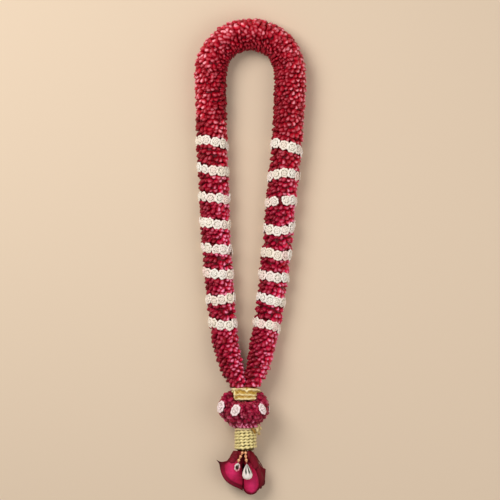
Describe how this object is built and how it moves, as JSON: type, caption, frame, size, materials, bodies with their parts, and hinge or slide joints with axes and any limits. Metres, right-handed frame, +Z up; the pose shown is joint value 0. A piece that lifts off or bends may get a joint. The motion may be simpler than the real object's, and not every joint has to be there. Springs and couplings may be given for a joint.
{
  "type": "wedding garland",
  "caption": "Long flower garland worn round the neck: folded red petals with bands of white rosettes, gathered by gold trim above a ball of petals and hanging roses.",
  "frame": {"origin": "on the table surface, under the middle of the whole garland", "axes": "+Z up from the table, +Y along the garland towards the neck loop, +X to the picture's right"},
  "size_m": [0.2256, 0.9549, 0.0963],
  "materials": {
    "petal_red": "soft satin petals",
    "rosette_white": "matte cream petals",
    "gold": "crumpled metallic ribbon and beads",
    "rose_crimson": "velvety rose petals",
    "sepal_brown": "dry matte sepals and stems",
    "cord_thread": "matte twisted thread"
  },
  "bodies": {
    "root": {"ball_rosette_1": "rosette_white", "ball_rosette_2": "rosette_white", "ball_rosette_3": "rosette_white", "ball_rosette_4": "rosette_white", "ball_rosette_5": "rosette_white", "bead_string_left": "gold", "bead_string_right": "gold", "calyx_left": "sepal_brown", "calyx_right": "sepal_brown", "drop_flower_left": "rosette_white", "drop_flower_right": "rosette_white", "garland_cord": "cord_thread", "gold_collar": "gold", "gold_tie": "gold", "left_lower_petals": "petal_red", "left_petals_1": "petal_red", "left_petals_2": "petal_red", "left_petals_3": "petal_red", "left_petals_4": "petal_red", "left_petals_5": "petal_red", "left_petals_6": "petal_red", "left_petals_7": "petal_red", "left_rosettes_1": "rosette_white", "left_rosettes_2": "rosette_white", "left_rosettes_3": "rosette_white", "left_rosettes_4": "rosette_white", "left_rosettes_5": "rosette_white", "left_rosettes_6": "rosette_white", "left_rosettes_7": "rosette_white", "left_rosettes_8": "rosette_white", "neck_petals_1": "petal_red", "neck_petals_2": "petal_red", "neck_petals_3": "petal_red", "neck_petals_4": "petal_red", "neck_petals_5": "petal_red", "neck_petals_6": "petal_red", "neck_petals_7": "petal_red", "petal_ball": "petal_red", "right_lower_petals": "petal_red", "right_petals_1": "petal_red", "right_petals_2": "petal_red", "right_petals_3": "petal_red", "right_petals_4": "petal_red", "right_petals_5": "petal_red", "right_petals_6": "petal_red", "right_petals_7": "petal_red", "right_rosettes_1": "rosette_white", "right_rosettes_2": "rosette_white", "right_rosettes_3": "rosette_white", "right_rosettes_4": "rosette_white", "right_rosettes_5": "rosette_white", "right_rosettes_6": "rosette_white", "right_rosettes_7": "rosette_white", "right_rosettes_8": "rosette_white", "rose_left": "rose_crimson", "rose_right": "rose_crimson"}
  },
  "joints": []
}
